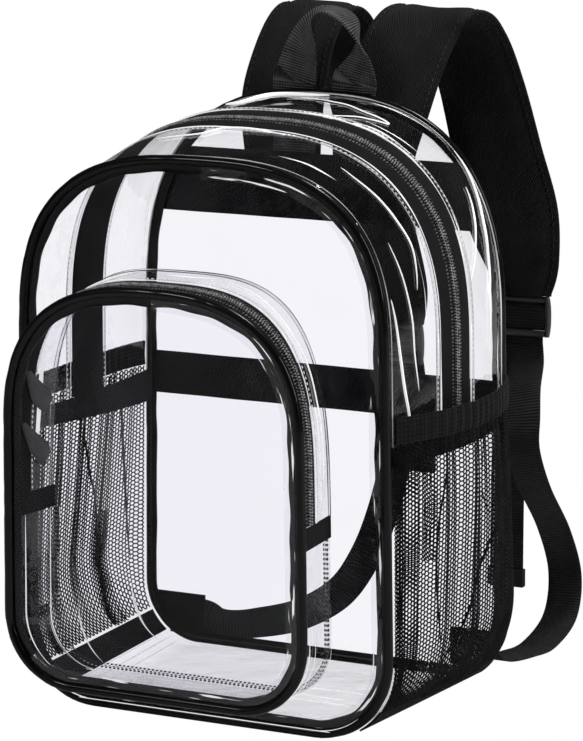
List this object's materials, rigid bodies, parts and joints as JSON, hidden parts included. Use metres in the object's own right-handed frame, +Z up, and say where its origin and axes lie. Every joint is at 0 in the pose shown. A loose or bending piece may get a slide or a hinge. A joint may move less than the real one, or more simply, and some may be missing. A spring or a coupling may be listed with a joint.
{
  "type": "clear backpack",
  "caption": "Clear rectangular backpack with an arched zip, a front pocket, mesh side pockets, black piping, a carry handle and padded shoulder straps.",
  "frame": {"origin": "under the middle of the bounding box, on the surface the bag stands on", "axes": "+Z up; the front pocket faces -Y and the shoulder straps hang on the +Y side; +X is the right side as seen from the front"},
  "size_m": [0.2474, 0.2916, 0.3504],
  "materials": {
    "clear_pvc": "clear, smooth and glossy soft sheet",
    "black_piping": "glossy black piping cord and tape",
    "black_twill": "matt black woven twill",
    "black_zip": "black zip tape with a nylon coil",
    "black_mesh": "open black knitted net",
    "black_webbing": "ribbed black webbing",
    "grey_plastic": "dark moulded plastic and painted metal",
    "grey_ribbon": "dark grey satin ribbon"
  },
  "bodies": {
    "root": {"front_panel": "clear_pvc", "back_panel": "clear_pvc", "front_gusset": "clear_pvc", "back_gusset": "clear_pvc", "left_side_panel": "clear_pvc", "right_side_panel": "clear_pvc", "base_panel": "clear_pvc", "pocket_panel": "clear_pvc", "pocket_gusset": "clear_pvc", "pocket_base_gusset": "clear_pvc", "front_piping": "black_piping", "back_piping": "black_piping", "pocket_piping": "black_piping", "main_zipper": "black_zip", "pocket_zipper": "black_zip", "left_mesh_pocket": "black_mesh", "right_mesh_pocket": "black_mesh", "handle": "black_webbing", "left_webbing": "black_webbing", "right_webbing": "black_webbing", "left_webbing_tail": "black_webbing", "right_webbing_tail": "black_webbing", "left_buckle": "grey_plastic", "right_buckle": "grey_plastic", "main_zip_slider": "grey_plastic", "pocket_upper_slider": "grey_plastic", "pocket_lower_slider": "grey_plastic", "pocket_upper_pull": "grey_ribbon", "pocket_lower_pull": "grey_ribbon", "left_side_tape": "black_twill", "right_side_tape": "black_twill", "pocket_tab_left": "black_twill", "pocket_tab_right": "black_twill", "left_elastic": "black_twill", "right_elastic": "black_twill", "left_hem": "black_twill", "right_hem": "black_twill", "yoke": "black_twill", "back_band": "black_twill", "left_strap": "black_twill", "right_strap": "black_twill", "left_anchor": "black_twill", "right_anchor": "black_twill", "main_zip_pull": "black_twill"}
  },
  "joints": []
}
